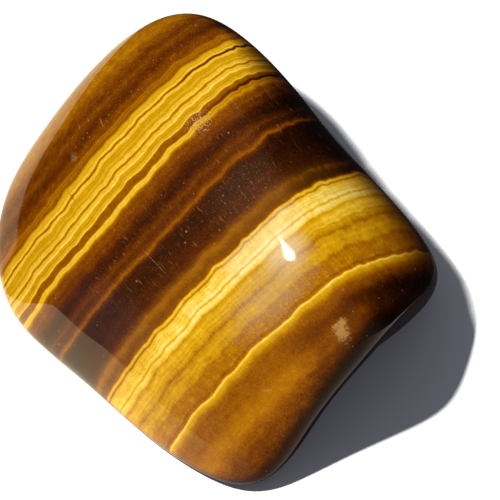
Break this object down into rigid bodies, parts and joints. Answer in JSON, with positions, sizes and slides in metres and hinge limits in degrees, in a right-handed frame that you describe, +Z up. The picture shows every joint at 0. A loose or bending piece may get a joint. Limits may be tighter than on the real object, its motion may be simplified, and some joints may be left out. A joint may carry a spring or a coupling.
{
  "type": "tumbled tiger's eye pebble",
  "caption": "Tumbled and polished pebble of banded golden brown tiger's eye, one rounded wedge-shaped stone that rests on the flat of its underside.",
  "frame": {"origin": "centre of the bounding box at the level the stone rests on", "axes": "+X across the bands, +Y along the bands, +Z up from the surface the stone rests on"},
  "size_m": [0.0268, 0.022, 0.0139],
  "materials": {
    "tigers_eye": "high wet-looking polish on golden yellow, honey and dark brown fibrous quartz in parallel wavy bands"
  },
  "bodies": {
    "root": {"stone": "tigers_eye"}
  },
  "joints": []
}
